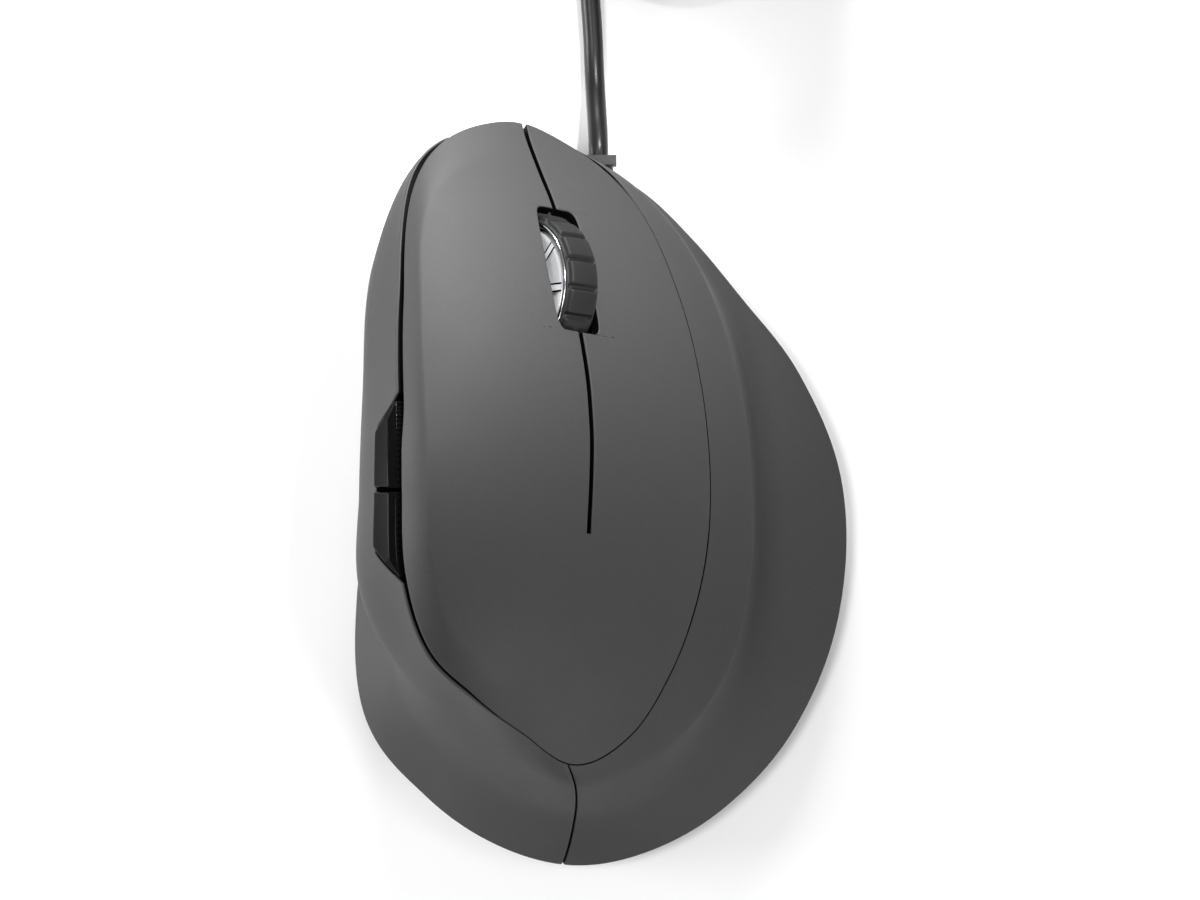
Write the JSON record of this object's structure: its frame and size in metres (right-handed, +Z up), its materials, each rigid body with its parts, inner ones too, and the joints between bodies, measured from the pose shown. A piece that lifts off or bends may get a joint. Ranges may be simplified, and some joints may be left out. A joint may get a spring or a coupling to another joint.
{
  "type": "computer mouse",
  "caption": "Right-handed sloping wired mouse with thumb rest, split main buttons, thumb-side buttons, scroll wheel and a coiled cord with plug.",
  "frame": {"origin": "middle of the footprint on the desk, under the body", "axes": "+Y towards the nose where the cord leaves, +Z up, +X towards the low finger side"},
  "size_m": [0.084, 0.2402, 0.0614],
  "materials": {
    "soft_shell": "soft-touch, fine grain",
    "base_plastic": "fine texture",
    "gloss_black": "polished",
    "black_plastic": "plain",
    "tread_rubber": "moulded tread",
    "hub_metal": "plated",
    "pin_steel": "drawn",
    "plug_metal": "stamped, plated",
    "clear_lens": "clear moulding",
    "circuit_board": "dark solder mask",
    "cord_jacket": "smooth jacket",
    "gland_rubber": "moulded",
    "plug_plastic": "overmoulded",
    "tie_plastic": "fibre strap",
    "ivory_plastic": "plain",
    "plunger_red": "plain",
    "foot_plastic": "slick low-friction pad"
  },
  "bodies": {
    "base": {"base_plate": "base_plastic", "thumb_shell": "soft_shell", "right_shell": "soft_shell", "top_cover": "soft_shell", "groove_trim": "gloss_black", "carriage_pivot": "pin_steel", "pivot_posts": "black_plastic", "encoder": "black_plastic", "switch_board": "circuit_board", "left_switch": "black_plastic", "right_switch": "black_plastic", "middle_switch": "black_plastic", "main_board": "circuit_board", "board_standoffs": "black_plastic", "sensor": "black_plastic", "sensor_lens": "clear_lens", "controller_chip": "black_plastic", "cable_header": "ivory_plastic", "frame_posts": "black_plastic", "side_board": "circuit_board", "forward_switch": "black_plastic", "back_switch": "black_plastic", "side_board_post": "black_plastic", "foot_front": "foot_plastic", "foot_rear": "foot_plastic", "foot_right": "foot_plastic", "foot_left": "foot_plastic", "base_screws": "pin_steel", "screw_bosses": "black_plastic", "cable_gland": "gland_rubber", "inner_lead": "cord_jacket", "cable": "cord_jacket", "cable_end": "cord_jacket", "cable_coil": "cord_jacket", "coil_tie": "tie_plastic", "usb_plug_body": "plug_plastic", "usb_plug_shell": "plug_metal"},
    "left_button": {"left_button": "soft_shell", "left_post": "black_plastic"},
    "right_button": {"right_button": "soft_shell", "right_post": "black_plastic"},
    "left_plunger": {"left_plunger": "plunger_red"},
    "right_plunger": {"right_plunger": "plunger_red"},
    "forward_button": {"forward_button": "gloss_black"},
    "back_button": {"back_button": "gloss_black"},
    "carriage": {"wheel_carriage": "black_plastic"},
    "wheel": {"wheel_tyre": "tread_rubber", "wheel_hub": "hub_metal"}
  },
  "joints": [
    {"name": "left_click", "type": "hinge", "parent": "base", "child": "left_button", "pos_m": [-0.015, -0.005, 0.0565], "axis": [-0.8775, 0, 0.4796], "range_deg": [0, 0.8], "stiffness_Nm_per_rad": 1.2, "springref_deg": -1.15},
    {"name": "right_click", "type": "hinge", "parent": "base", "child": "right_button", "pos_m": [0.009, -0.005, 0.0373], "axis": [-0.6874, 0, 0.7263], "range_deg": [0, 0.8], "stiffness_Nm_per_rad": 1.2, "springref_deg": -1.15},
    {"name": "left_switch_press", "type": "slide", "parent": "base", "child": "left_plunger", "axis": [-0.5751, -0.4217, -0.701], "range_m": [0, 0.0007]},
    {"name": "right_switch_press", "type": "slide", "parent": "base", "child": "right_plunger", "axis": [-0.5751, -0.4217, -0.701], "range_m": [0, 0.0007]},
    {"name": "wheel_press", "type": "hinge", "parent": "base", "child": "carriage", "pos_m": [-0.0088, 0.01429, 0.03832], "axis": [-0.7974, 0.0974, 0.5956], "range_deg": [0, 2], "stiffness_Nm_per_rad": 0.6, "springref_deg": -1.72},
    {"name": "wheel_spin", "type": "hinge", "parent": "carriage", "child": "wheel", "pos_m": [-0.00969, 0.03332, 0.03402], "axis": [0.7974, -0.0974, -0.5956], "continuous": true},
    {"name": "forward_press", "type": "slide", "parent": "base", "child": "forward_button", "axis": [0.8035, -0.055, -0.5927], "range_m": [0, 0.0005], "stiffness_N_per_m": 600, "springref_m": -0.001},
    {"name": "back_press", "type": "slide", "parent": "base", "child": "back_button", "axis": [0.8035, -0.055, -0.5927], "range_m": [0, 0.0005], "stiffness_N_per_m": 600, "springref_m": -0.001}
  ],
  "couplings": [
    {"joint": "left_switch_press", "follows": "left_click", "m_per_rad": 0.0466},
    {"joint": "right_switch_press", "follows": "right_click", "m_per_rad": 0.0466}
  ]
}
